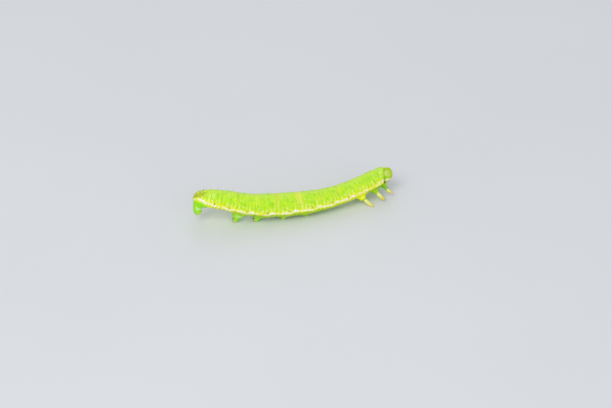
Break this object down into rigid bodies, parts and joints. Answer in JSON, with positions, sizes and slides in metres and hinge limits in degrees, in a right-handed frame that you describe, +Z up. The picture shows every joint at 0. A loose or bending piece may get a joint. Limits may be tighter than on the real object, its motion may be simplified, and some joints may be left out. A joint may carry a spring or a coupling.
{
  "type": "green moth larva",
  "caption": "Slender green larva on its middle prolegs, tail end raised and clear of the floor, thoracic legs spread and head low, with a pale stripe along each side.",
  "frame": {"origin": "on the floor, at the middle of the bounding box's bottom face", "axes": "+X from tail to head along the body's length, +Y to the larva's left, +Z up from the floor"},
  "size_m": [0.0292, 0.0062, 0.0054],
  "materials": {
    "skin": "soft lime-green skin with a white and yellow spiracular stripe, yellow rings between segments and a fine pale stipple",
    "proleg_skin": "soft green skin that pales to a pinkish sole",
    "head_capsule": "smooth yellow-green head capsule with faint pale netting",
    "leg_cuticle": "glossy pale yellow cuticle, brown towards the claws",
    "jaw": "hard amber-brown jaws, darker at the edge"
  },
  "bodies": {
    "root": {"abdomen_10": "skin", "abdomen_9": "skin", "abdomen_8": "skin", "abdomen_7": "skin", "abdomen_6": "skin", "abdomen_5": "skin", "abdomen_4": "skin", "abdomen_3": "skin", "abdomen_2": "skin", "abdomen_1": "skin", "thorax_3": "skin", "thorax_2": "skin", "thorax_1": "skin", "proleg_10_left": "proleg_skin", "proleg_10_right": "proleg_skin", "proleg_6_left": "proleg_skin", "proleg_6_right": "proleg_skin", "proleg_5_left": "proleg_skin", "proleg_5_right": "proleg_skin", "proleg_4_left": "proleg_skin", "proleg_4_right": "proleg_skin", "proleg_3_left": "proleg_skin", "proleg_3_right": "proleg_skin", "leg_1_left": "leg_cuticle", "leg_1_right": "leg_cuticle", "leg_2_left": "leg_cuticle", "leg_2_right": "leg_cuticle", "leg_3_left": "leg_cuticle", "leg_3_right": "leg_cuticle", "head": "head_capsule", "antenna_left": "leg_cuticle", "mandible_left": "jaw", "antenna_right": "leg_cuticle", "mandible_right": "jaw"}
  },
  "joints": []
}
